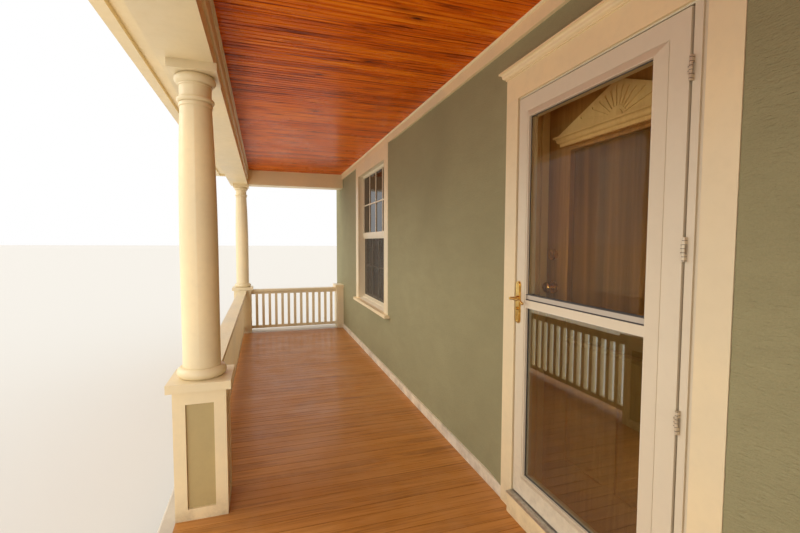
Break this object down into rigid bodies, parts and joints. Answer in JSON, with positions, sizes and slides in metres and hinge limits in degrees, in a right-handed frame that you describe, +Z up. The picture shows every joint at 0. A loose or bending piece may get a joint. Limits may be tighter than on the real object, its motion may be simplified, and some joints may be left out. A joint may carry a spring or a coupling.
{
  "type": "front porch",
  "caption": "Covered front porch with round columns on panelled pedestals, railings, varnished ceiling and floor, sash windows, a storm door over a wood door, and a house wall.",
  "frame": {"origin": "middle of the box's foot, on the ground", "axes": "+X along the porch to the right seen from the yard, +Y into the house, +Z up"},
  "size_m": [12.56, 2.3599, 3.8887],
  "materials": {
    "concrete": "rough",
    "olive_stucco": "matte",
    "cream_paint": "painted satin",
    "olive_paint": "painted satin",
    "grey_paint": "painted satin",
    "floor_varnish": "varnished",
    "ceiling_varnish": "varnished gloss",
    "roofing": "rough granules",
    "white_vinyl": "satin",
    "white_aluminium": "painted satin",
    "mill_aluminium": "brushed",
    "door_glass": "clear",
    "brass": "polished",
    "door_wood": "varnished",
    "carved_wood": "varnished"
  },
  "bodies": {
    "porch": {"foundation": "concrete", "house_base": "concrete", "floor_deck": "floor_varnish", "floor_border": "grey_paint", "step_base": "grey_paint", "step_tread": "grey_paint", "pedestals": "cream_paint", "pedestal_panels": "olive_paint", "pedestal_caps": "cream_paint", "wall_pedestals": "cream_paint", "column_bases": "cream_paint", "column_shafts": "cream_paint", "column_capitals": "cream_paint", "railing_front": "cream_paint", "railing_end": "cream_paint", "beams": "cream_paint", "beam_crown": "cream_paint", "ceiling": "ceiling_varnish", "ceiling_trim": "cream_paint", "base_trim": "cream_paint", "eave_soffit": "cream_paint", "fascia": "cream_paint", "roof": "roofing", "wall_left": "olive_stucco", "wall_right": "olive_stucco", "wall_over_door": "olive_stucco", "window_casings": "cream_paint", "window_sills": "cream_paint", "window_sashes": "white_vinyl", "window_glass": "door_glass", "door_casing": "cream_paint", "door_head": "cream_paint", "door_sill": "cream_paint", "threshold": "mill_aluminium", "door_jamb": "door_wood", "storm_frame": "white_aluminium", "hinge_pins": "mill_aluminium"},
    "storm_door": {"storm_leaf": "white_aluminium", "storm_glass": "door_glass", "storm_hinges": "mill_aluminium", "storm_plate": "brass"},
    "lever": {"storm_lever": "brass"},
    "inner_door": {"inner_leaf": "door_wood", "inner_glass": "door_glass", "inner_pediment": "carved_wood", "inner_hardware": "brass"}
  },
  "joints": [
    {"name": "storm_door_swing", "type": "hinge", "parent": "porch", "child": "storm_door", "pos_m": [0.467, 0.912, 1.511], "axis": [0, 0, 1], "range_deg": [0, 100]},
    {"name": "inner_door_swing", "type": "hinge", "parent": "porch", "child": "inner_door", "pos_m": [0.481, 1.141, 1.501], "axis": [0, 0, -1], "range_deg": [0, 95]},
    {"name": "storm_lever_turn", "type": "hinge", "parent": "storm_door", "child": "lever", "pos_m": [-0.436, 0.885, 1.523], "axis": [0, 1, 0], "range_deg": [0, 40], "stiffness_Nm_per_rad": 0.4, "springref_deg": -28.65}
  ]
}
